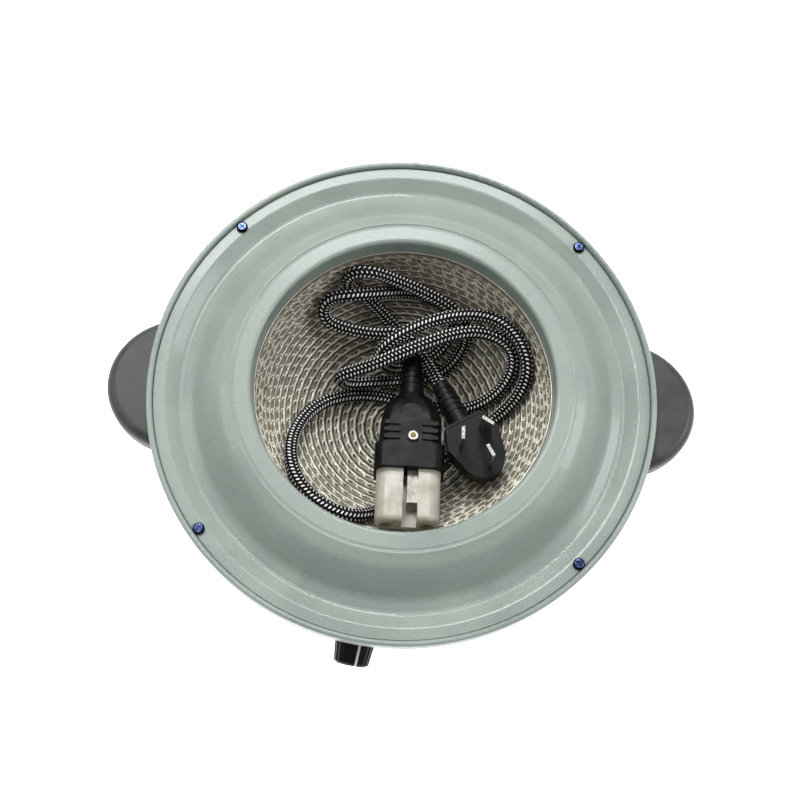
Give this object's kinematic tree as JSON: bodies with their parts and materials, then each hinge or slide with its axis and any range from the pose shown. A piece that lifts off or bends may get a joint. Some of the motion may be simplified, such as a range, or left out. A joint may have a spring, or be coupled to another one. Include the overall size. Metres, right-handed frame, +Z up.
{
  "type": "heating mantle",
  "caption": "Round-bottom flask heating mantle: ridged glass-fibre cup in a green spun-metal casing with side handles and front controls, braided mains lead stored in the cup.",
  "frame": {"origin": "on the casing axis, on the floor that the four feet stand on", "axes": "+Z up along the casing axis, +X through the right handle, -Y towards the knob and switch, +Y towards the mains inlet"},
  "size_m": [0.2866, 0.256, 0.1357],
  "materials": {
    "aluminium_sink": "plain extruded aluminium",
    "bakelite": "black bakelite, soft sheen",
    "black_gloss": "glossy black plastic, white pointer line",
    "black_plastic": "black moulded plastic",
    "black_rubber": "black rubber",
    "blue_zinc": "blue zinc plating",
    "board_laminate": "green glass laminate",
    "braided_cord": "black textile braid with white flecks",
    "brass_parts": "bright brass",
    "capacitor_case": "yellow box capacitor",
    "ceramic": "unglazed ceramic",
    "glass_fibre": "knitted glass yarn, beige to silver",
    "glass_tape": "glass-sheathed resistance tape",
    "glass_wool": "pressed glass wool",
    "green_paint": "sea-green hammertone stoving enamel, satin",
    "grey_plastic": "dark grey moulded plastic",
    "nickel_pins": "nickel plate",
    "nose_ceramic": "cream ceramic, slightly glazed and handled",
    "plain_steel": "plain spun steel",
    "plug_plastic": "dark grey moulded plastic",
    "red_rocker": "red translucent plastic",
    "zinc_screws": "bright zinc"
  },
  "bodies": {
    "mantle": {"appliance_inlet": "black_plastic", "base_plate": "plain_steel", "base_screws": "zinc_screws", "board_pillars": "zinc_screws", "capacitor": "capacitor_case", "casing": "green_paint", "connector_body": "bakelite", "connector_boot": "black_rubber", "connector_earth_spring": "nickel_pins", "connector_nose": "nose_ceramic", "connector_screw": "zinc_screws", "connector_sleeves": "brass_parts", "control_board": "board_laminate", "cover_screws": "blue_zinc", "element_leads": "glass_tape", "foot_1": "black_rubber", "foot_2": "black_rubber", "foot_3": "black_rubber", "foot_4": "black_rubber", "foot_screws": "zinc_screws", "handle_screws": "zinc_screws", "heat_sink": "aluminium_sink", "heating_cup": "glass_fibre", "heating_element": "glass_tape", "inlet_earth_tongue": "nickel_pins", "inlet_pins": "nickel_pins", "inlet_screws": "zinc_screws", "inner_bowl": "plain_steel", "insulation": "glass_wool", "lead_bush": "ceramic", "left_handle": "grey_plastic", "mains_cord": "braided_cord", "plug_blades": "nickel_pins", "plug_body": "plug_plastic", "plug_earth_blade": "nickel_pins", "potentiometer": "plain_steel", "potentiometer_nut": "zinc_screws", "right_handle": "grey_plastic", "switch_frame": "black_plastic", "switch_terminals": "brass_parts", "terminal_block": "ceramic", "top_cover": "green_paint", "triac": "black_plastic"},
    "knob": {"knob": "black_gloss", "potentiometer_shaft": "brass_parts"},
    "rocker": {"switch_rocker": "red_rocker"}
  },
  "joints": [
    {"name": "knob_turn", "type": "hinge", "parent": "mantle", "child": "knob", "pos_m": [-0.01615, -0.11204, 0.09], "axis": [-0.1399, -0.9706, -0.1961], "range_deg": [-132, 168]},
    {"name": "switch_rock", "type": "hinge", "parent": "mantle", "child": "rocker", "pos_m": [0.01622, -0.11253, 0.0899], "axis": [0.9898, 0.1426, 0], "range_deg": [-18, 0]}
  ]
}
